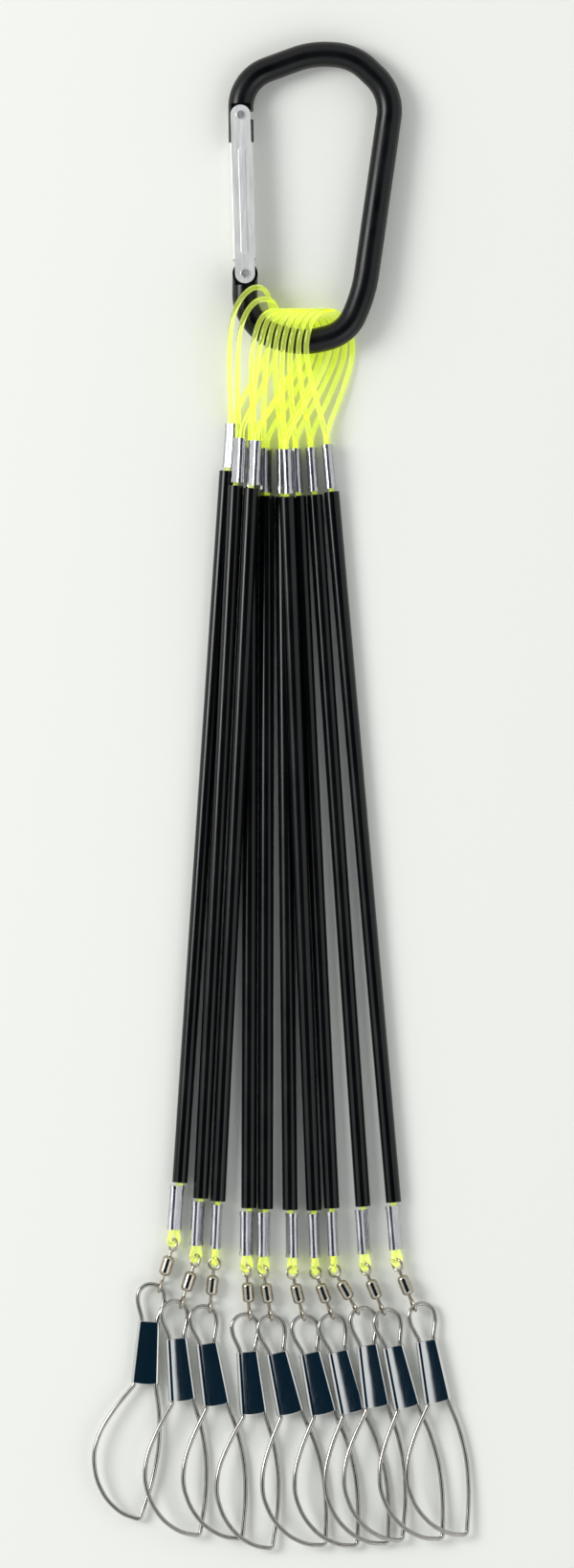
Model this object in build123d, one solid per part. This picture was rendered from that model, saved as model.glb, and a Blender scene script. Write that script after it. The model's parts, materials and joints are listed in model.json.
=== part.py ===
from build123d import *
import os
from math import asin, cos, pi, radians, sin, sqrt, tan

os.makedirs("parts", exist_ok=True)

# Fish stringer lying flat: a carabiner with ten leaders, each with a snap at its end. Sizes in mm.
# Before the last move X and Y are measured from the middle of the photographed object, Z from the table.

# Line and the sleeves crimped on it
line_dia = 1.7
bore_gap = 0.05
sleeve_length = 14.0
sleeve_wall = 0.6
collar_length = 1.2
collar_proud = 0.15
exit_run = 4.0

# Tubes over the line
tube_od = 4.85
tube_id = 2.7
tube_length = 226.0
sleeve_gap = 1.0
lay_gap = 0.15

# Carabiner rod
rod_dia = 8.0
rod_flat = 5.0
line_room = 0.6
shoulder_gap = 0.5
bow_corners = [(-12.95, 226.0), (9.9, 234.4), (23.0, 233.4), (35.2, 221.6), (26.2, 158.5),
               (20.7, 145.5), (7.0, 142.1), (-5.6, 145.4), (-11.6, 153.4)]
bow_top = 233.6
bow_bottom = 142.9

# Gate, its rivets and its leaf spring
pivot = (-11.45, 164.15)
gate_length = 50.3
gate_lean = 1.66
gate_sheet = 0.8
gate_side_gap = 0.15
gate_width = 6.3
channel_extra = 1.0
channel_gap = 0.5
channel_clear = 0.6
channel_bend = 1.1
lip_depth = 1.5
rib_width = 2.2
rib_margin = 1.5
rib_proud = 0.35
nose_lap = 8.35
rivet_dia = 2.0
rivet_head_dia = 3.0
rivet_head = 0.45
rivet_round = 0.27
rivet_fit = 0.05
seat_fit = 0.02
notch_gap = 0.45
leaf_thick = 0.3
leaf_width = 3.6
leaf_gap = 0.1
leaf_length = 20.0
leaf_tip_gap = 0.3
leaf_tip_angle = 15.0
leaf_tip_run = 3.5
leaf_bend = 3.0

# Fold of the line in the swivel's upper eye
fold_start = 0.9
fold_side = 1.85
fold_drop = 4.7
fold_clear = 0.3
fold_slant = 32.5

# Barrel swivel
eye_wire = 0.9
eye_outer = 4.5
barrel_dia = 3.8
barrel_length = 6.5
barrel_wall = 0.55
barrel_round = 1.3
shank_dia = 1.2
shank_show = 1.4
shank_head_dia = 2.3
shank_head = 0.7
turn_gap = 0.06

# Snap: bent wire, free arm and folded clasp; (u, s) is across and down the snap
snap_wire_dia = 1.4
clasp_sheet = 0.4
clasp_gap = 0.08
clasp_length = 19.5
clasp_closed = 7.4
clasp_lip = 0.45
clasp_back_edge = -0.3
leg_top = 2.45
leg_bottom = 3.35
leg_over = 0.8
leg_end_gap = 0.4
arm_end_gap = 1.2
loop_radius = 4.2
loop_centre = -7.7
loop_shoulder = -6.0
bow_wire_corners = [(-9.3, 28.4), (-13.2, 35.6), (-14.9, 43.0), (-13.4, 50.9), (-9.7, 57.2), (-4.4, 61.4)]
snap_tip = (1.35, 62.9)
arm_corners = [(4.6, 50.5), (5.95, 39.5), (5.3, 29.0)]
hinge_out = 2.2
hinge_gap = 0.05
clasp_bend_reach = 0.7
tip_bend = 1.3

# Where each leader lies, left to right; tube places are counted in tube pitches from head_x
head_x = 0.45
head_pitch = [-3.53, -2.97, -1.99, -2.0, -1.0, 0.0, 0.25, 1.0, 2.03, 3.1]
head_y = [102.1, 97.3, 96.4, 94.5, 94.2, 93.9, 93.6, 94.2, 94.5, 95.5]
foot_pitch = [-6.52, -5.2, -4.1, -2.15, -1.09, 0.47, 1.98, 3.12, 5.09, 7.03]
lift = [0, 0.87, 1.22, 0, 0, 0, 1.17, 0, 0, 0]
top_roll = [35, 50, 50, 100, 125, 100, 75, 100, 100, 100]
foot_roll = [145, 135, 100, 135, 130, 60, 105, 100, 130, 130]
swivel_lean = [-17.3, -17.9, -6.0, 4.0, 9.0, 13.7, 20.6, 29.0, 22.4, 21.5]
snap_turn = [-4.0, 5.5, 9.0, 6.0, 13.0, 12.5, 13.5, 9.0, 13.2, 10.5]
snap_roll = [6.0, 14.0, 11.5, 11.5, 11.5, 11.5, 14.0, 14.0, 14.0, 14.0]
snap_height = [2.4, 3.0, 2.65, 2.6, 2.6, 2.4, 2.3, 3.05, 3.1, 2.95]
link_angle = [38.6, 40, 40, 28, 10, 3.7, 10, -24, -8.7, -29]
link_seat = 0.4
link_lift = 0.2

# Line loops round the rod: two by hand at the left corner, then a row of like loops
over_gap = 0.65
under_gap = 0.1
corner_loops = [
    [(-16.2, 145.5, 12.0), (-14.2, 154.5, 12.0), (-9.2, 160.0, 11.6),
     (-4.8, 159.6, 6.0), (-3.2, 154.6, 1.3), (-2.0, 145.5, 0.95)],
    [(-13.6, 142.5, 12.0), (-11.8, 151.0, 12.0), (-7.4, 156.2, 11.3),
     (-2.4, 156.0, 5.4), (-0.7, 151.0, 1.4), (0.3, 143.5, 0.95)]]
row_first = (-1.3, 146.8)
row_step = 2.37
row_half = 5.8
row_drop = [0, 0.2, 0.81, 1]
leg_drop = 6.5
leg_spread = 2.2
front_shift = -0.4
back_shift = 0.8
front_share = [0.5, 0.5, 0.5, 0.42, 0.5, 0.5, 0.5, 0.5, 0.42, 0.5]
front_height = [8.0, 10.2, 10.6, 3.9, 7.9, 4.0, 10.4, 7.9, 4.3, 8.3]
back_height = [1.6, 5.4, 6.4, 1.6, 1.6, 1.6, 6.2, 1.6, 1.6, 1.6]

# Sizes that follow from those above
run_share = 0.45
line_pitch = line_dia + 2 * bore_gap
tube_pitch = tube_od + lay_gap
sleeve_bore = line_dia + 2 * bore_gap
sleeve_od = sleeve_bore + 2 * sleeve_wall
frame_lift = line_dia + line_room
eye_radius = (eye_outer - eye_wire) / 2
eye_reach = barrel_length / 2 + shank_show + eye_outer / 2
ring_slack = eye_radius - line_dia / 2 - eye_wire / 2 - fold_clear
bead_inner = snap_wire_dia / 2 + clasp_gap
bead_outer = bead_inner + clasp_sheet
up_axis = Vector(0, 0, 1)
eighth = tan(pi / 8)


def mix(a, b, share):
    return a + (b - a) * share


def corner_radii(points, held=()):
    # Each arc takes its share of the shorter run; a run held in a sleeve counts only near its end
    runs = [(b - a).length for a, b in zip(points, points[1:])]
    for place in held:
        runs[place] = 2 * exit_run
    radii = []
    for k in range(1, len(points) - 1):
        turn = radians((points[k] - points[k - 1]).get_angle(points[k + 1] - points[k]))
        radii.append(run_share * min(runs[k - 1], runs[k]) / tan(turn / 2))
    return radii


def reach_radius(a, b, c, reach):
    return reach / tan(radians((b - a).get_angle(c - b)) / 2)


def bar(points, radii, dia):
    path = FilletPolyline(*points, radius=radii)
    section = Plane(origin=path @ 0, z_dir=path % 0) * Circle(dia / 2)
    return sweep(section, path=path)


def save(name, shapes):
    export_step(Compound(shapes).moved(Location(shift)), f"parts/{name}.step")


# Carabiner, made flat about its own mid plane and then tilted so that the line passes under it
tilt_angle = asin(frame_lift / (bow_top - bow_bottom)) * 180 / pi
tilt = Pos(0, bow_top, rod_dia / 2) * Rot(-tilt_angle, 0, 0) * Pos(0, -bow_top, 0)
gate_place = Pos(pivot[0], pivot[1], 0) * Rot(0, 0, gate_lean)
plate_low = rod_flat / 2 + gate_side_gap
plate_high = plate_low + gate_sheet
channel_width = gate_width + channel_extra
channel_start = rod_dia / 2 + channel_clear
nose_start = gate_length - nose_lap
channel_end = nose_start - channel_gap


def make_frame():
    nose = (gate_place * Pos(0, nose_start, 0)).position
    corners = [nose] + [Vector(x, y) for x, y in bow_corners] + [Vector(*pivot)]
    radii = corner_radii(corners)
    print("carabiner rod radii", [round(r, 1) for r in radii])
    rod = bar(corners, radii, rod_dia)
    end = gate_place * Cylinder(rod_dia / 2, rod_flat)
    flat_start = -gate_width / 2 - shoulder_gap
    flat_end = gate_length + gate_width / 2 + shoulder_gap
    flat_box = Box(2 * rod_dia, flat_end - flat_start, rod_dia)
    flat_middle = (flat_start + flat_end) / 2
    flat_height = (rod_flat + rod_dia) / 2
    rod -= gate_place * Pos(0, flat_middle, flat_height) * flat_box
    rod -= gate_place * Pos(0, flat_middle, -flat_height) * flat_box
    notch = rivet_dia + 2 * notch_gap
    mouth = Pos(rod_dia / 2, gate_length, 0) * Box(rod_dia, notch, rod_dia)
    seat = Pos(0, gate_length, 0) * Cylinder(notch / 2, rod_dia)
    rod = rod + end - gate_place * (mouth + seat)
    return rod - gate_place * Cylinder(rivet_dia / 2 + seat_fit, rod_dia)


def make_gate():
    slot = Pos(0, gate_length / 2) * Rot(0, 0, 90) * SlotCenterToCenter(gate_length, gate_width)
    plate = extrude(Pos(0, 0, plate_low) * slot, gate_sheet)
    depth = 2 * plate_high
    section = RectangleRounded(channel_width, depth, channel_bend)
    section -= RectangleRounded(channel_width - 2 * gate_sheet, 2 * plate_low, channel_bend - gate_sheet)
    section -= Pos(channel_width / 2, 0) * Rectangle(3 * gate_sheet, depth - 2 * lip_depth)
    along = Plane(origin=(0, channel_start, 0), x_dir=(1, 0, 0), z_dir=(0, 1, 0))
    channel = extrude(along * section, channel_end - channel_start)
    rib_length = channel_end - channel_start - 2 * rib_margin
    middle = (channel_start + channel_end) / 2
    outline = Pos(0, middle, plate_high) * Rot(0, 0, 90) * SlotOverall(rib_length, rib_width)
    rib = extrude(outline, rib_proud, taper=30)
    front = plate + rib
    shape = channel + front + mirror(front, Plane.XY)
    hole = Cylinder(rivet_dia / 2 + rivet_fit, 2 * depth)
    return shape - hole - Pos(0, gate_length, 0) * Cylinder(rivet_dia / 2 + seat_fit, 2 * depth)


def make_rivet(gap):
    head = Cylinder(rivet_head_dia / 2, rivet_head, align=(Align.CENTER, Align.CENTER, Align.MIN))
    head = fillet(head.edges().sort_by(Axis.Z)[-1], rivet_round)
    head = Pos(0, 0, plate_high + gap) * head
    return Cylinder(rivet_dia / 2, 2 * (plate_high + gap)) + head + mirror(head, Plane.XY)


def make_leaf():
    # Lies along the channel's back wall and bends to the round end of the rod
    wall = -channel_width / 2 + gate_sheet + leaf_gap + leaf_thick / 2
    tip = rod_dia / 2 + leaf_tip_gap + leaf_thick
    top = Vector(wall, tip + leaf_length)
    bend = Vector(wall, tip + leaf_tip_run)
    end = Vector(-tip * sin(radians(leaf_tip_angle)), tip * cos(radians(leaf_tip_angle)))
    path = FilletPolyline(top, bend, end, radius=leaf_bend)
    section = Plane(origin=top, z_dir=(0, -1, 0), x_dir=(1, 0, 0)) * Rectangle(leaf_thick, leaf_width)
    return sweep(section, path=path)


class Leader:
    # Places of one leader's pieces, from its tube down to its snap and up to its loop
    def __init__(self, n):
        self.n = n
        head_at = head_x + head_pitch[n] * tube_pitch
        foot_at = head_x + foot_pitch[n] * tube_pitch
        rise = lift[n] * tube_od
        across = head_at - foot_at
        down = sqrt(tube_length ** 2 - across ** 2 - rise ** 2)
        self.head = Vector(head_at, head_y[n], tube_od / 2 + rise)
        self.foot = self.head - Vector(across, down, rise)
        self.along = (self.head - self.foot).normalized()
        self.right = self.along.cross(up_axis).normalized()
        self.up = self.right.cross(self.along)
        self.top_side = self.side(top_roll[n])
        self.foot_side = self.side(foot_roll[n])
        self.top_base = self.head + self.along * sleeve_gap
        self.foot_base = self.foot - self.along * (sleeve_gap + sleeve_length)
        self.set_swivel()

    def side(self, roll):
        return self.right * cos(radians(roll)) + self.up * sin(radians(roll))

    def set_swivel(self):
        n = self.n
        beta = radians(link_angle[n])
        link = Vector(loop_radius * sin(beta), loop_radius * cos(beta) - loop_centre, 0)
        turn = Rot(0, 0, snap_turn[n]) * Rot(0, snap_roll[n], 0)
        link_offset = (turn * Pos(*link)).position
        hold = self.foot_base + self.foot_side * (line_pitch / 2) - self.along * fold_drop
        swivel_length = 2 * eye_reach + ring_slack
        eye_height = snap_height[n] + link_offset.Z + link_lift
        dip = (eye_height - hold.Z) / swivel_length
        level = sqrt(1 - dip ** 2)
        lean = radians(swivel_lean[n])
        self.axis = Vector(sin(lean) * level, -cos(lean) * level, dip)
        self.barrel = hold + self.axis * (ring_slack + eye_reach)
        eye = self.barrel + self.axis * eye_reach
        seat = eye + self.axis * link_seat - link_offset
        self.snap = Pos(seat.X, seat.Y, snap_height[n]) * turn
        tangent = (turn * Pos(cos(beta), -sin(beta), 0)).position
        self.upper_normal = self.square_to_axis(self.foot_side)
        self.lower_normal = self.square_to_axis(tangent)

    def square_to_axis(self, v):
        return (v - self.axis * v.dot(self.axis)).normalized()

    def loop(self):
        # Front leg over the rod, round, and back leg under it, left to right
        if self.n < len(corner_loops):
            return [Vector(*p) for p in corner_loops[self.n]]
        x = row_first[0] + row_step * (self.n - len(corner_loops))
        y = row_first[1]
        cut = row_half * eighth
        over = rod_dia + frame_lift + line_dia / 2 + over_gap
        under = line_dia / 2 + under_gap
        z = [mix(over, under, share) for share in row_drop]
        return [Vector(x - row_half - leg_spread, y - leg_drop, over),
                Vector(x - row_half, y + cut, z[0]),
                Vector(x - cut, y + row_half, z[1]),
                Vector(x + cut, y + row_half, z[2]),
                Vector(x + row_half, y + cut, z[3]),
                Vector(x + row_half + leg_spread, y - leg_drop, under)]

    def route(self):
        # From the cut end in the upper sleeve round the carabiner, down the tube and back up the lower sleeve
        n = self.n
        rise = self.along * (sleeve_length + exit_run)
        tag = self.top_base + self.top_side * line_pitch
        tag_exit = tag + rise
        tube_exit = self.top_base + rise
        ring = self.loop()
        tag_in_front = cos(radians(top_roll[n])) < 0
        front, back = (tag_exit, tube_exit) if tag_in_front else (tube_exit, tag_exit)
        front_leg = mix(front, ring[0], front_share[n])
        back_leg = mix(back, ring[-1], 0.5)
        chain = [Vector(front_leg.X + front_shift, front_leg.Y, front_height[n])] + ring
        chain.append(Vector(back_leg.X + back_shift, back_leg.Y, back_height[n]))
        if not tag_in_front:
            chain.reverse()
        return [tag, tag_exit] + chain + [tube_exit] + self.fold()

    def fold(self):
        middle = self.foot_base + self.foot_side * (line_pitch / 2)
        slant = radians(fold_slant)
        high = fold_drop - fold_side * cos(slant)
        wide = fold_side / 2 + fold_side * sin(slant)
        half = [(line_pitch / 2, fold_start), (wide, high), (fold_side / 2, fold_drop)]
        outline = [(-w, t) for w, t in half] + [(w, t) for w, t in reversed(half)]
        outline.append((line_pitch / 2, -sleeve_length))
        return [middle + self.foot_side * w - self.along * t for w, t in outline]

    def make_line(self):
        points = self.route()
        loop_end = len(self.loop()) + 4
        radii = corner_radii(points, held=(0, loop_end, -1))
        tube = bar(points, radii, line_dia)
        length = tube.volume / (pi / 4 * line_dia ** 2)
        print(f"line {self.n + 1} length {length:.1f} radii", [round(r, 1) for r in radii])
        return tube

    def make_tube(self):
        ring = Circle(tube_od / 2) - Circle(tube_id / 2)
        return extrude(Plane(origin=self.foot, z_dir=self.along) * ring, tube_length)

    def make_sleeve(self, base, side):
        at = Plane(origin=base + side * (line_pitch / 2), x_dir=side, z_dir=self.along)
        bore = SlotCenterToCenter(line_pitch, sleeve_bore)
        collar = SlotCenterToCenter(line_pitch, sleeve_od + 2 * collar_proud) - bore
        body = extrude(SlotCenterToCenter(line_pitch, sleeve_od) - bore, sleeve_length)
        body += extrude(collar, collar_length)
        body += extrude(Pos(0, 0, sleeve_length - collar_length) * collar, collar_length)
        return at * body

    def make_eye(self, direction, normal):
        return Plane(origin=self.barrel, x_dir=normal, z_dir=direction) * swivel_eye

    def make_barrel(self):
        return Plane(origin=self.barrel, z_dir=self.axis) * swivel_barrel


def make_swivel_eye():
    ring = Pos(0, 0, eye_reach) * Rot(0, 90, 0) * Torus(eye_radius, eye_wire / 2)
    inside = barrel_length / 2 - barrel_wall - turn_gap
    ring_bottom = eye_reach - eye_radius
    upright = (Align.CENTER, Align.CENTER, Align.MIN)
    shank = Pos(0, 0, inside) * Cylinder(shank_dia / 2, ring_bottom - inside, align=upright)
    head = Pos(0, 0, inside - shank_head) * Cylinder(shank_head_dia / 2, shank_head, align=upright)
    return ring + shank + head


def make_swivel_barrel():
    body = fillet(Cylinder(barrel_dia / 2, barrel_length).edges().filter_by(GeomType.CIRCLE), barrel_round)
    body -= Cylinder(barrel_dia / 2 - barrel_wall, barrel_length - 2 * barrel_wall)
    return body - Cylinder(shank_dia / 2 + turn_gap, barrel_length)


# Snap, flat in its own plane: u to the right, s down from the clasp's top edge
def at(u, s):
    return Vector(u, -s)


def leg(s):
    return mix(leg_top, leg_bottom, s / clasp_length)


def left_leg(s):
    return -leg(s)


hinge = at(*snap_tip) + (at(*arm_corners[0]) - at(*snap_tip)).normalized() * hinge_out


def make_snap_wire():
    right_end = at(leg(clasp_closed - leg_end_gap), clasp_closed - leg_end_gap)
    cut = loop_radius * eighth
    half = [(leg(-leg_over), -leg_over), (loop_radius, loop_shoulder), (loop_radius, loop_centre - cut),
            (cut, loop_centre - loop_radius)]
    crown = [at(u, s) for u, s in half] + [at(-u, s) for u, s in reversed(half)]
    below = clasp_length + leg_over
    bow = [at(-leg(below), below)] + [at(u, s) for u, s in bow_wire_corners]
    points = [right_end] + crown + bow + [at(*snap_tip), hinge]
    radii = corner_radii(points)
    for k in (1, len(crown), len(crown) + 1):
        radii[k - 1] = reach_radius(points[k - 1], points[k], points[k + 1], clasp_bend_reach)
    radii[-1] = tip_bend
    print("snap wire radii", [round(r, 1) for r in radii])
    wire = bar(points, radii, snap_wire_dia)
    return wire - Pos(*hinge) * Sphere(snap_wire_dia / 2 + hinge_gap)


def make_arm():
    end = clasp_closed + arm_end_gap
    below = clasp_length + leg_over
    points = [hinge] + [at(u, s) for u, s in arm_corners]
    points += [at(leg(below), below), at(leg(end), end)]
    radii = corner_radii(points)
    radii[-1] = reach_radius(*points[-3:], clasp_bend_reach)
    print("snap arm radii", [round(r, 1) for r in radii])
    wire = bar(points, radii, snap_wire_dia)
    return wire + Pos(*hinge) * Sphere(snap_wire_dia / 2)


def make_bead(side, start, end):
    # Sheet rolled round one leg of the wire
    a = at(side * leg(start), start)
    b = at(side * leg(end), end)
    across = Plane(origin=a, x_dir=(1, 0, 0), z_dir=b - a)
    ring = Circle(bead_outer) - Circle(bead_inner)
    return extrude(across * ring, (b - a).length)


def make_plate(start, end, left, right, low):
    corners = [at(left(start), start), at(right(start), start), at(right(end), end), at(left(end), end)]
    return extrude(Pos(0, 0, low) * make_face(Polyline(*corners, close=True)), clasp_sheet)


def make_clasp():
    shape = make_bead(-1, 0, clasp_length) + make_bead(1, 0, clasp_closed)
    open_bead = make_bead(1, clasp_closed, clasp_length)
    deep = 2 * bead_outer
    low = Pos(0, 0, -clasp_lip - deep / 2) * Box(8 * bead_outer, 4 * clasp_length, deep)
    mouth = extrude(Pos(0, 0, -deep) * make_face(Polyline(
        at(0, clasp_closed), at(leg(clasp_closed), clasp_closed), at(leg(clasp_length), clasp_length),
        at(0, clasp_length), close=True)), deep)
    shape += open_bead - low - mouth
    shape += make_plate(0, clasp_length, left_leg, leg, bead_inner)
    shape += make_plate(0, clasp_closed, left_leg, leg, -bead_outer)
    return shape + make_plate(clasp_closed, clasp_length, left_leg, lambda s: clasp_back_edge, -bead_outer)


swivel_eye = make_swivel_eye()
swivel_barrel = make_swivel_barrel()
snap_wire = make_snap_wire()
snap_arm = make_arm()
clasp = make_clasp()
leaders = [Leader(n) for n in range(len(head_pitch))]

nodes = {
    "carabiner_frame": [tilt * make_frame()],
    "gate": [tilt * gate_place * make_gate()],
    "pivot_rivet": [tilt * gate_place * make_rivet(rivet_fit)],
    "latch_pin": [tilt * gate_place * Pos(0, gate_length, 0) * make_rivet(0)],
    "gate_spring": [tilt * gate_place * make_leaf()],
    "upper_sleeves": [l.make_sleeve(l.top_base, l.top_side) for l in leaders],
    "lower_sleeves": [l.make_sleeve(l.foot_base, l.foot_side) for l in leaders],
    "tubes": [l.make_tube() for l in leaders],
    "upper_eyes": [l.make_eye(-l.axis, l.upper_normal) for l in leaders],
}
for leader in leaders:
    number = leader.n + 1
    nodes[f"swivel_barrel_{number}"] = [leader.make_barrel()]
    nodes[f"lower_eye_{number}"] = [leader.make_eye(leader.axis, leader.lower_normal)]
    nodes[f"snap_wire_{number}"] = [leader.snap * snap_wire]
    nodes[f"clasp_{number}"] = [leader.snap * clasp]
    nodes[f"snap_arm_{number}"] = [leader.snap * snap_arm]

# The origin is on the table under the middle of everything but the line
whole = Compound([shape for shapes in nodes.values() for shape in shapes]).bounding_box()
shift = Vector(-whole.center().X, -whole.center().Y, -whole.min.Z)
print("origin shift", shift)
nodes["leader_lines"] = [l.make_line() for l in leaders]
for name, shapes in nodes.items():
    save(name, shapes)
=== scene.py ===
import json
import bpy
import numpy as np
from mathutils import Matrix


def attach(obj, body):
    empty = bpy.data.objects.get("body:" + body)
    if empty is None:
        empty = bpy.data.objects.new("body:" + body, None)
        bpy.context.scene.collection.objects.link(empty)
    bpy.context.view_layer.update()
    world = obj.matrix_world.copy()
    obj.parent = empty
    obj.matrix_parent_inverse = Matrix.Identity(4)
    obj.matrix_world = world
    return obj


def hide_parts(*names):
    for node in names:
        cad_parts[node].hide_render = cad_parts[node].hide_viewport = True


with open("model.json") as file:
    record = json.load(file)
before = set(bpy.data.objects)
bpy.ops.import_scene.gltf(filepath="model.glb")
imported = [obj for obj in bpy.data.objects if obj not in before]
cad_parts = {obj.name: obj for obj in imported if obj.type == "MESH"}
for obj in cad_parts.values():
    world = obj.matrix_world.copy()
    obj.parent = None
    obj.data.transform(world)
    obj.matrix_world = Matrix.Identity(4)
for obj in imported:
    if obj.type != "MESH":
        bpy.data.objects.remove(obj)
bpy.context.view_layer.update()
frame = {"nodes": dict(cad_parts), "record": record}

mm = 0.001
print("frame loaded:", len(frame["nodes"]), "nodes")


# Small helpers
def linear(hexColour):
    # sRGB hex to linear rgba
    parts = [int(hexColour[k:k + 2], 16) / 255 for k in (1, 3, 5)]
    return tuple(c / 12.92 if c <= 0.04045 else ((c + 0.055) / 1.055) ** 2.4 for c in parts) + (1.0,)


def unit(v):
    return v / np.linalg.norm(v)


def addNode(tree, kind, inputs=None, links=None):
    node = tree.nodes.new(kind)
    for name, value in (inputs or {}).items():
        node.inputs[name].default_value = value
    for name, (source, output) in (links or {}).items():
        tree.links.new(source.outputs[output], node.inputs[name])
    return node


def startMaterial(name):
    material = bpy.data.materials.new(name)
    material.use_nodes = True
    material.node_tree.nodes.clear()
    return material, material.node_tree


def endMaterial(tree, shader):
    addNode(tree, "ShaderNodeOutputMaterial", links={"Surface": (shader, "BSDF")})


def setRamp(node, stops):
    # stops is a list of (place, colour)
    elements = node.color_ramp.elements
    while len(elements) > 1:
        elements.remove(elements[-1])
    elements[0].position = stops[0][0]
    elements[0].color = stops[0][1]
    for place, colour in stops[1:]:
        elements.new(place).color = colour


def grey(value):
    return (value, value, value, 1.0)


def addNoise(tree, place, size, detail, output="Object"):
    # Noise whose features are about size mm across
    return addNode(tree, "ShaderNodeTexNoise", inputs={"Scale": 1 / (size * mm), "Detail": detail},
                   links={"Vector": (place, output)})


def addTone(tree, noise, reach, dark, light):
    # Noise over this reach runs from the dark colour to the light one
    node = addNode(tree, "ShaderNodeValToRGB", links={"Fac": (noise, "Fac")})
    setRamp(node, [(reach[0], linear(dark)), (reach[1], linear(light))])
    return node


def addGloss(tree, noise, reach, gloss):
    # Noise over this reach becomes a roughness between the two given
    inputs = {"From Min": reach[0], "From Max": reach[1], "To Min": gloss[0], "To Max": gloss[1]}
    return addNode(tree, "ShaderNodeMapRange", inputs=inputs, links={"Value": (noise, "Fac")})


def addStretch(tree, place, stretch):
    # Draws noise out into lines along the axis with the small factor
    return addNode(tree, "ShaderNodeMapping", inputs={"Scale": stretch},
                   links={"Vector": (place, "Object")})


def addBump(tree, noise, strength, height):
    inputs = {"Strength": strength, "Distance": height * mm}
    return addNode(tree, "ShaderNodeBump", inputs=inputs, links={"Height": (noise, "Fac")})


def addSurface(tree, inputs, tone, gloss, bump):
    links = {"Base Color": (tone, "Color"), "Roughness": (gloss, "Result"), "Normal": (bump, "Normal")}
    return addNode(tree, "ShaderNodeBsdfPrincipled", inputs=inputs, links=links)


# Stage: camera straight above, pale paper floor, light from the left. Lamps are in m, the rest in mm;
# originShift takes the photographed middle to the frame's origin
stage = {
    "photoWidth": 600, "photoHeight": 1639, "pixelsPerMm": 3.3, "photoOrigin": (294.0, 829.0),
    "originShift": (-0.066806, 0.999939, 0.010874), "lens": 150.0, "sensor": 36.0, "aimHeight": 4.0,
    "paper": "#f0f1ea", "paperRough": 0.9, "floorSize": 6000.0,
    "keyPlace": (-1.7, 0.5, 1.4), "keySize": 1.1, "keyPower": 28.0,
    "fillPlace": (1.4, -1.0, 1.6), "fillSize": 1.6, "fillPower": 5.0,
    "skyBright": 0.9, "horizon": 0.72, "fullFrom": 0.35, "skyTint": (0.93, 0.96, 1.0, 1.0),
    "skyDark": "#0d2636", "darkFrom": 0.84, "darkTo": 0.862,
}


def makeCamera():
    camera = bpy.data.cameras.new("camera")
    camera.sensor_fit = "VERTICAL"
    camera.sensor_height = stage["sensor"]
    camera.lens = stage["lens"]
    rig = bpy.data.objects.new("camera", camera)
    scale = stage["pixelsPerMm"]
    x = (stage["photoWidth"] / 2 - stage["photoOrigin"][0]) / scale + stage["originShift"][0]
    y = (stage["photoOrigin"][1] - stage["photoHeight"] / 2) / scale + stage["originShift"][1]
    distance = stage["photoHeight"] / scale * stage["lens"] / stage["sensor"]
    rig.location = (x * mm, y * mm, (distance + stage["aimHeight"]) * mm)
    bpy.context.scene.collection.objects.link(rig)
    bpy.context.scene.camera = rig


def makeLamp(name, place, size, power):
    lamp = bpy.data.lights.new(name, "AREA")
    lamp.shape = "DISK"
    lamp.size = size
    lamp.energy = power
    rig = bpy.data.objects.new(name, lamp)
    rig.location = place
    # Turned to face the origin
    x, y, z = place
    rig.rotation_euler = (0.0, np.arctan2(np.hypot(x, y), z), np.arctan2(y, x))
    bpy.context.scene.collection.objects.link(rig)


def makeWorld():
    # Bright all round with a dark patch overhead, which polished metal shows as its dark core
    world = bpy.data.worlds.new("studio")
    world.use_nodes = True
    tree = world.node_tree
    tree.nodes.clear()
    place = addNode(tree, "ShaderNodeTexCoord")
    split = addNode(tree, "ShaderNodeSeparateXYZ", links={"Vector": (place, "Generated")})
    ramp = addNode(tree, "ShaderNodeValToRGB", links={"Fac": (split, "Z")})
    setRamp(ramp, [(0.0, grey(stage["horizon"])), (stage["fullFrom"], grey(1.0)),
                   (stage["darkFrom"], stage["skyTint"]), (stage["darkTo"], linear(stage["skyDark"]))])
    light = addNode(tree, "ShaderNodeBackground", inputs={"Strength": stage["skyBright"]},
                    links={"Color": (ramp, "Color")})
    addNode(tree, "ShaderNodeOutputWorld", links={"Surface": (light, "Background")})
    bpy.context.scene.world = world


def makeFloor():
    half = stage["floorSize"] * mm / 2
    mesh = bpy.data.meshes.new("paper")
    corners = [(-half, -half, 0), (half, -half, 0), (half, half, 0), (-half, half, 0)]
    mesh.from_pydata(corners, [], [(0, 1, 2, 3)])
    floor = bpy.data.objects.new("paper", mesh)
    bpy.context.scene.collection.objects.link(floor)
    material, tree = startMaterial("matte paper")  # uncoated paper, no gloss to speak of
    shader = addNode(tree, "ShaderNodeBsdfPrincipled",
                     inputs={"Base Color": linear(stage["paper"]), "Roughness": stage["paperRough"]})
    endMaterial(tree, shader)
    mesh.materials.append(material)


makeCamera()
makeLamp("key", stage["keyPlace"], stage["keySize"], stage["keyPower"])
makeLamp("fill", stage["fillPlace"], stage["fillSize"], stage["fillPower"])
makeWorld()
makeFloor()
bpy.context.scene.view_settings.view_transform = "Standard"
print("stage made")


# Materials, with sizes in mm
anodised = {
    "dark": "#050607", "light": "#0c0d0f", "tone": (0.3, 0.75),
    "markSize": 9.0, "markDetail": 5.0, "marks": (0.35, 0.7), "gloss": (0.24, 0.36),
    "grainSize": 0.5, "grainDetail": 3.0, "bump": 0.06, "bumpHeight": 0.05, "specular": 0.3,
}


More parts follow.
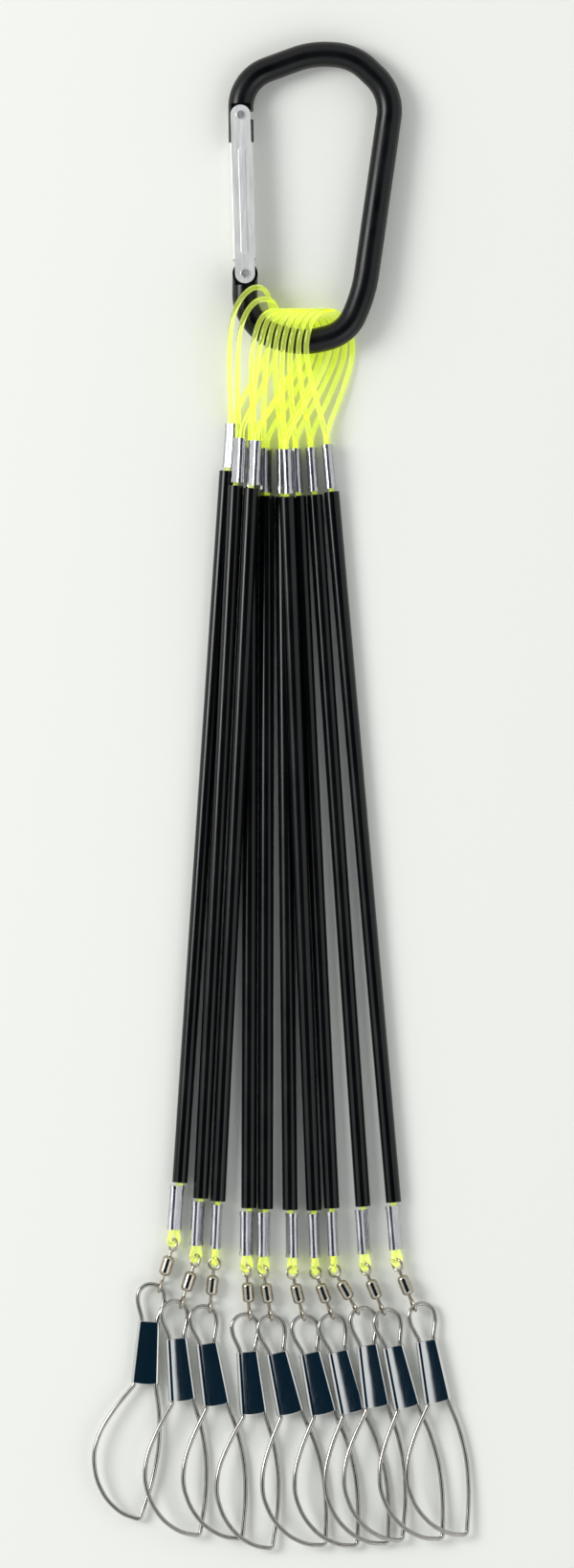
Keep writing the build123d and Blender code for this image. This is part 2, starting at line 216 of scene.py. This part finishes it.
def blackAnodised():
    # Anodised aluminium over a polished rod: deep black, a soft sheen and faint handling marks
    material, tree = startMaterial("black anodised aluminium")
    place = addNode(tree, "ShaderNodeTexCoord")
    marks = addNoise(tree, place, anodised["markSize"], anodised["markDetail"])
    grain = addNoise(tree, place, anodised["grainSize"], anodised["grainDetail"])
    tone = addTone(tree, marks, anodised["tone"], anodised["dark"], anodised["light"])
    gloss = addGloss(tree, marks, anodised["marks"], anodised["gloss"])
    bump = addBump(tree, grain, anodised["bump"], anodised["bumpHeight"])
    endMaterial(tree, addSurface(tree, {"Specular IOR Level": anodised["specular"]}, tone, gloss, bump))
    return material


nylon = {
    "dark": "#fbff9c", "light": "#ffffbe", "tone": (0.3, 0.7), "cloudSize": 4.0, "cloudDetail": 3.0,
    "roughness": 0.06, "ior": 1.53, "clear": 0.9, "paintedGlow": "#cbe62a", "paintedGlowStrength": 0.19,
}


def fluorescentNylon():
    # Clear nylon dyed yellow-green, with a painted glow: a faint emission stands in for the light the dye
    # and the edges gather
    material, tree = startMaterial("fluorescent nylon")
    place = addNode(tree, "ShaderNodeTexCoord")
    cloud = addNoise(tree, place, nylon["cloudSize"], nylon["cloudDetail"])
    tone = addTone(tree, cloud, nylon["tone"], nylon["dark"], nylon["light"])
    inputs = {
        "Roughness": nylon["roughness"], "IOR": nylon["ior"], "Transmission Weight": nylon["clear"],
        # Painted glow: emission on a line that is no lamp, standing in for light and making up for its
        # dark shadows
        "Emission Color": linear(nylon["paintedGlow"]), "Emission Strength": nylon["paintedGlowStrength"],
    }
    shader = addNode(tree, "ShaderNodeBsdfPrincipled", inputs=inputs,
                     links={"Base Color": (tone, "Color")})
    endMaterial(tree, shader)
    return material


vinyl = {
    "dark": "#040506", "light": "#0a0c0d", "tone": (0.3, 0.8),
    "smudgeSize": 14.0, "smudgeDetail": 4.0, "smudges": (0.35, 0.7), "gloss": (0.13, 0.22),
    "stretch": (1.0, 0.03, 1.0), "lineWidth": 0.7, "lineDetail": 3.0, "bump": 0.02, "bumpHeight": 0.05,
    "ior": 1.45, "specular": 0.4,
}


def blackVinyl():
    # Flexible vinyl tube, extruded: black with a clean gloss and faint draw lines
    material, tree = startMaterial("black vinyl")
    place = addNode(tree, "ShaderNodeTexCoord")
    drawn = addStretch(tree, place, vinyl["stretch"])
    lines = addNoise(tree, drawn, vinyl["lineWidth"], vinyl["lineDetail"], "Vector")
    smudge = addNoise(tree, place, vinyl["smudgeSize"], vinyl["smudgeDetail"])
    tone = addTone(tree, smudge, vinyl["tone"], vinyl["dark"], vinyl["light"])
    gloss = addGloss(tree, smudge, vinyl["smudges"], vinyl["gloss"])
    bump = addBump(tree, lines, vinyl["bump"], vinyl["bumpHeight"])
    inputs = {"IOR": vinyl["ior"], "Specular IOR Level": vinyl["specular"]}
    endMaterial(tree, addSurface(tree, inputs, tone, gloss, bump))
    return material


along = (1.0, 0.06, 1.0)
even = (1.0, 1.0, 1.0)
metalGrain = {
    "tone": (0.3, 0.65), "lines": (0.3, 0.7), "lineDetail": 4.0,
    "waveSize": 6.0, "waveDetail": 1.0, "waveHeight": 0.2,
}
metals = {
    # Satin and nearly white, as it comes from the rolls
    "gate_sheet": {
        "name": "rolled bright steel", "dark": "#e6e6e4", "light": "#f4f4f2",
        "gloss": (0.52, 0.6), "stretch": along, "lineWidth": 0.6, "waves": 0.02},
    # Upset heads, uneven and a little duller than the sheet
    "rivet_steel": {
        "name": "upset steel", "dark": "#c0c0be", "light": "#dcdcda",
        "gloss": (0.36, 0.5), "stretch": even, "lineWidth": 0.5, "waves": 0.08},
    # Grey from the heat, with lines along the strip
    "spring_steel": {
        "name": "tempered strip steel", "dark": "#7c7c80", "light": "#9a9a9c",
        "gloss": (0.25, 0.4), "stretch": along, "lineWidth": 0.4, "waves": 0.05},
    # Pale and faintly lilac, with soft draw lines and a crimped surface
    "sleeve_aluminium": {
        "name": "drawn aluminium", "dark": "#b0b0b6", "light": "#cfcfd2",
        "gloss": (0.2, 0.32), "stretch": along, "lineWidth": 0.4, "waves": 0.08},
    # Warm and bright
    "swivel_nickel": {
        "name": "nickel plate", "dark": "#a59e90", "light": "#bdb6a8",
        "gloss": (0.1, 0.2), "stretch": even, "lineWidth": 0.6, "waves": 0.05},
    # Clean grey with crisp glints
    "snap_wire_steel": {
        "name": "drawn stainless wire", "dark": "#9c9a95", "light": "#b8b6b1",
        "gloss": (0.12, 0.22), "stretch": along, "lineWidth": 0.3, "waves": 0.04},
    # Nearly a mirror, with its dark face and bright edge taken from the room
    "clasp_steel": {
        "name": "polished stainless sheet", "dark": "#d2d2d0", "light": "#dcdcda",
        "gloss": (0.06, 0.1), "stretch": along, "lineWidth": 0.4, "waves": 0.12},
}


def brightMetal(look):
    # Drawn, rolled or plated metal: fine lines in tone and gloss over slow waves in the surface
    material, tree = startMaterial(look["name"])
    place = addNode(tree, "ShaderNodeTexCoord")
    drawn = addStretch(tree, place, look["stretch"])
    lines = addNoise(tree, drawn, look["lineWidth"], metalGrain["lineDetail"], "Vector")
    waves = addNoise(tree, place, metalGrain["waveSize"], metalGrain["waveDetail"])
    tone = addTone(tree, lines, metalGrain["tone"], look["dark"], look["light"])
    gloss = addGloss(tree, lines, metalGrain["lines"], look["gloss"])
    bump = addBump(tree, waves, look["waves"], metalGrain["waveHeight"])
    endMaterial(tree, addSurface(tree, {"Metallic": 1.0}, tone, gloss, bump))
    return material


finishes = {slot: brightMetal(look) for slot, look in metals.items()}
finishes["black_rod"] = blackAnodised()
finishes["fluorescent_line"] = fluorescentNylon()
finishes["black_tube"] = blackVinyl()
for part in frame["record"]["subparts"]:
    mesh = frame["nodes"][part["node"]].data
    mesh.materials.clear()
    mesh.materials.append(finishes[part["material_slot"]])
print("finishes set")


# Lines: the leaders' lie on the table, in mm from the photographed middle
leaders = {
    "lineDia": 1.7, "boreGap": 0.05, "sleeveLength": 14.0, "sleeveGap": 1.0, "exitRun": 4.0,
    "tubeOd": 4.85, "tubeLength": 226.0, "layGap": 0.15, "headX": 0.45,
    "headPitch": [-3.53, -2.97, -1.99, -2.0, -1.0, 0.0, 0.25, 1.0, 2.03, 3.1],
    "headY": [102.1, 97.3, 96.4, 94.5, 94.2, 93.9, 93.6, 94.2, 94.5, 95.5],
    "footPitch": [-6.52, -5.2, -4.1, -2.15, -1.09, 0.47, 1.98, 3.12, 5.09, 7.03],
    "lift": [0, 0.87, 1.22, 0, 0, 0, 1.17, 0, 0, 0],
    "topRoll": [35, 50, 50, 100, 125, 100, 75, 100, 100, 100],
    "footRoll": [145, 135, 100, 135, 130, 60, 105, 100, 130, 130],
}
loops = {
    "rodDia": 8.0, "lineRoom": 0.6, "overGap": 0.65, "underGap": 0.1,
    "corner": [
        [(-16.2, 145.5, 12.0), (-14.2, 154.5, 12.0), (-9.2, 160.0, 11.6),
         (-4.8, 159.6, 6.0), (-3.2, 154.6, 1.3), (-2.0, 145.5, 0.95)],
        [(-13.6, 142.5, 12.0), (-11.8, 151.0, 12.0), (-7.4, 156.2, 11.3),
         (-2.4, 156.0, 5.4), (-0.7, 151.0, 1.4), (0.3, 143.5, 0.95)]],
    "rowFirst": (-1.3, 146.8), "rowStep": 2.37, "rowHalf": 5.8, "rowDrop": [0, 0.2, 0.81, 1],
    "legDrop": 6.5, "legSpread": 2.2, "frontShift": -0.4, "backShift": 0.8,
    "frontShare": [0.5, 0.5, 0.5, 0.42, 0.5, 0.5, 0.5, 0.5, 0.42, 0.5],
    "frontHeight": [8.0, 10.2, 10.6, 3.9, 7.9, 4.0, 10.4, 7.9, 4.3, 8.3],
    "backHeight": [1.6, 5.4, 6.4, 1.6, 1.6, 1.6, 6.2, 1.6, 1.6, 1.6],
}
fold = {"start": 0.9, "side": 1.85, "drop": 4.7, "slant": 32.5, "hold": 2.4}
lineFacts = {"length": 397.0, "order": 3, "sides": 5, "steps": 14}
count = len(leaders["headPitch"])


def leaderLie(n):
    # Head and foot of a straight tube of fixed length, with its run and the two directions square to it
    pitch = leaders["tubeOd"] + leaders["layGap"]
    headX = leaders["headX"] + leaders["headPitch"][n] * pitch
    across = headX - leaders["headX"] - leaders["footPitch"][n] * pitch
    rise = leaders["lift"][n] * leaders["tubeOd"]
    down = np.sqrt(leaders["tubeLength"] ** 2 - across ** 2 - rise ** 2)
    head = np.array([headX, leaders["headY"][n], leaders["tubeOd"] / 2 + rise])
    foot = head - np.array([across, down, rise])
    run = unit(head - foot)
    right = unit(np.cross(run, [0.0, 0.0, 1.0]))
    return head, foot, run, right, np.cross(right, run)


def sideOf(right, up, roll):
    # Where the second strand lies beside the first, roll degrees up from the right
    return right * np.cos(np.radians(roll)) + up * np.sin(np.radians(roll))


def loopPoints(n):
    # Over the rod in front, round a half octagon, and back under the rod, left to right;
    # the loops on the rod's bend have their own points
    if n < len(loops["corner"]):
        return [np.array(p) for p in loops["corner"][n]]
    x = loops["rowFirst"][0] + loops["rowStep"] * (n - len(loops["corner"]))
    y = loops["rowFirst"][1]
    half = loops["rowHalf"]
    cut = half * np.tan(np.pi / 8)
    radius = leaders["lineDia"] / 2
    frameLift = leaders["lineDia"] + loops["lineRoom"]
    over = frameLift + loops["rodDia"] + loops["overGap"] + radius
    under = loops["underGap"] + radius
    z = [over + (under - over) * share for share in loops["rowDrop"]]
    spread = half + loops["legSpread"]
    low = y - loops["legDrop"]
    front = [(x - spread, low, over), (x - half, y + cut, z[0]), (x - cut, y + half, z[1])]
    back = [(x + cut, y + half, z[2]), (x + half, y + cut, z[3]), (x + spread, low, under)]
    return [np.array(p) for p in front + back]


def foldPoints(middle, side, run, pitch):
    # Half an uneven octagon through the swivel's eye, with a point held in the sleeve before and after it
    slant = np.radians(fold["slant"])
    high = fold["drop"] - fold["side"] * np.cos(slant)
    wide = fold["side"] * (0.5 + np.sin(slant))
    held = fold["start"] - fold["hold"]
    half = [(pitch / 2, held), (pitch / 2, fold["start"]), (wide, high), (fold["side"] / 2, fold["drop"])]
    outline = [(-w, t) for w, t in half] + [(w, t) for w, t in reversed(half)]
    outline.append((pitch / 2, -leaders["sleeveLength"]))
    return [middle + side * w - run * t for w, t in outline]


def lineRoute(n):
    # From the upper sleeve round the carabiner, down the tube, through the eye and up the lower sleeve
    head, foot, run, right, up = leaderLie(n)
    pitch = leaders["lineDia"] + 2 * leaders["boreGap"]
    topSide = sideOf(right, up, leaders["topRoll"][n])
    footSide = sideOf(right, up, leaders["footRoll"][n])
    base = head + run * leaders["sleeveGap"]
    footBase = foot - run * (leaders["sleeveGap"] + leaders["sleeveLength"])
    sleeveTop = run * leaders["sleeveLength"]
    rise = run * (leaders["sleeveLength"] + leaders["exitRun"])
    tag = base + topSide * pitch
    tagInFront = np.cos(np.radians(leaders["topRoll"][n])) < 0
    front, back = (tag + rise, base + rise) if tagInFront else (base + rise, tag + rise)
    ring = loopPoints(n)
    frontLeg = front + (ring[0] - front) * loops["frontShare"][n]
    backLeg = (back + ring[-1]) / 2
    chain = [np.array([frontLeg[0] + loops["frontShift"], frontLeg[1], loops["frontHeight"][n]])] + ring
    chain.append(np.array([backLeg[0] + loops["backShift"], backLeg[1], loops["backHeight"][n]]))
    if not tagInFront:
        chain.reverse()
    tail = foldPoints(footBase + footSide * pitch / 2, footSide, run, pitch)
    points = [tag, tag + sleeveTop, tag + rise] + chain + [base + rise, base + sleeveTop] + tail
    return (np.array(points) + np.array(stage["originShift"])) * mm


def makeLine(n):
    route = lineRoute(n)
    curve = bpy.data.curves.new(f"line_{n + 1}", "CURVE")
    curve.dimensions = "3D"
    curve.bevel_depth = leaders["lineDia"] * mm / 2
    curve.bevel_resolution = lineFacts["sides"]
    curve.resolution_u = lineFacts["steps"]
    curve.use_fill_caps = True
    spline = curve.splines.new("NURBS")
    spline.points.add(len(route) - 1)
    spline.points.foreach_set("co", np.hstack([route, np.ones((len(route), 1))]).ravel())
    spline.order_u = lineFacts["order"]
    spline.use_endpoint_u = True
    piece = bpy.data.objects.new(f"line_{n + 1}", curve)
    bpy.context.scene.collection.objects.link(piece)
    curve.materials.append(finishes["fluorescent_line"])
    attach(piece, "stringer")
    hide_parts("leader_lines")


for n in range(count):
    makeLine(n)
print("lines laid")

# Clasps, in mm: sheet rolled round both legs of the wire and dished between them, with a mouth for the arm
clasp = {
    "length": 19.5, "closed": 7.4, "legTop": 2.45, "legBottom": 3.35,
    "wireDia": 1.4, "gap": 0.08, "sheet": 0.4, "backEdge": -0.3, "seam": 0.12, "lip": 0.45,
    "dish": 0.12, "edgeBow": 0.3, "edge": 0.08,
    "edgeSteps": 2, "frontSteps": 24, "arcSteps": 10, "rows": 24,
    "bowTip": (1.35, -62.9), "armCorner": (4.6, -50.5), "hingeUp": 2.2,
}
joints = {joint["name"]: joint for joint in frame["record"]["behaviour"]["joints"]}


def snapPlace(n):
    # The arm's hinge and its axis give the snap's own frame: across, up the snap, and out of it
    joint = joints[f"arm_{n + 1}_open"]
    across = -unit(np.array(joint["axis"]))
    upward = unit(np.cross([0.0, 0.0, 1.0], across))
    outward = np.cross(across, upward)
    # On the snap the hinge lies a little way up the arm from the bow's tip
    tip = np.array(clasp["bowTip"])
    place = tip + unit(np.array(clasp["armCorner"]) - tip) * clasp["hingeUp"]
    origin = np.array(joint["pos_m"]) / mm - across * place[0] - upward * place[1]
    return origin, across, upward, outward


def sheetGrid(end, tail):
    # Mid-sheet profile: back edge, round the left leg, dished front and round the right leg to the lip;
    # the tail, only beside the closed top, goes on from the lip to the seam at the back
    s = np.linspace(0.0, end, clasp["rows"])[:, None]
    leg = clasp["legTop"] + (clasp["legBottom"] - clasp["legTop"]) * s / clasp["length"]
    radius = clasp["wireDia"] / 2 + clasp["gap"] + clasp["sheet"] / 2
    lipTurn = -np.arcsin(clasp["lip"] / radius)
    start, stop = (lipTurn, -np.pi / 2) if tail else (np.pi / 2, lipTurn)
    rightTurn = np.linspace(start, stop, clasp["arcSteps"])
    ones = np.ones_like(s)
    rightU = leg + radius * np.cos(rightTurn)
    rightZ = ones * radius * np.sin(rightTurn)
    if tail:
        u = np.hstack([rightU, ones * (clasp["backEdge"] + clasp["seam"])])
        z = np.hstack([rightZ, -ones * radius])
    else:
        turn = np.linspace(-np.pi / 2, -1.5 * np.pi, clasp["arcSteps"])
        span = np.linspace(-1, 1, clasp["frontSteps"])[1:-1]
        u = np.hstack([ones * clasp["backEdge"], -leg + radius * np.cos(turn), leg * span, rightU])
        dished = radius - clasp["dish"] * (1 - span ** 2)
        z = np.hstack([-ones * radius, ones * radius * np.sin(turn), ones * dished, rightZ])
    bow = clasp["edgeBow"] * (s / clasp["length"]) * np.clip(1 - (u / leg) ** 2, 0, 1)
    return np.stack([u, -(s + bow * (z > 0)), z], axis=-1)


def gridFaces(rows, columns, first):
    # One quad for each cell of a grid of points whose numbers start at first
    k = np.arange((rows - 1) * (columns - 1))
    a = first + k // (columns - 1) * columns + k % (columns - 1)
    return np.stack([a, a + 1, a + columns + 1, a + columns], axis=-1)


def makeClasp(n):
    origin, across, upward, outward = snapPlace(n)
    grids = [sheetGrid(clasp["length"], False), sheetGrid(clasp["closed"], True)]
    points = np.vstack([grid.reshape(-1, 3) for grid in grids])
    first = grids[0].shape[0] * grids[0].shape[1]
    faces = np.vstack([gridFaces(*grids[0].shape[:2], 0), gridFaces(*grids[1].shape[:2], first)])
    places = (origin + points @ np.array([across, upward, outward])) * mm
    mesh = bpy.data.meshes.new(f"clasp_sheet_{n + 1}")
    mesh.from_pydata(places, [], faces)
    mesh.polygons.foreach_set("use_smooth", np.ones(len(faces), bool))
    mesh.materials.append(finishes["clasp_steel"])
    piece = bpy.data.objects.new(f"clasp_sheet_{n + 1}", mesh)
    bpy.context.scene.collection.objects.link(piece)
    thick = piece.modifiers.new("sheet", "SOLIDIFY")
    thick.thickness = clasp["sheet"] * mm
    thick.offset = 0.0
    thick.use_even_offset = True
    edges = piece.modifiers.new("edges", "BEVEL")
    edges.width = clasp["edge"] * mm
    edges.segments = clasp["edgeSteps"]
    edges.limit_method = "ANGLE"
    edges.harden_normals = True
    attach(piece, f"snap_{n + 1}")
    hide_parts(f"clasp_{n + 1}")


for n in range(count):
    makeClasp(n)
print("clasps folded")
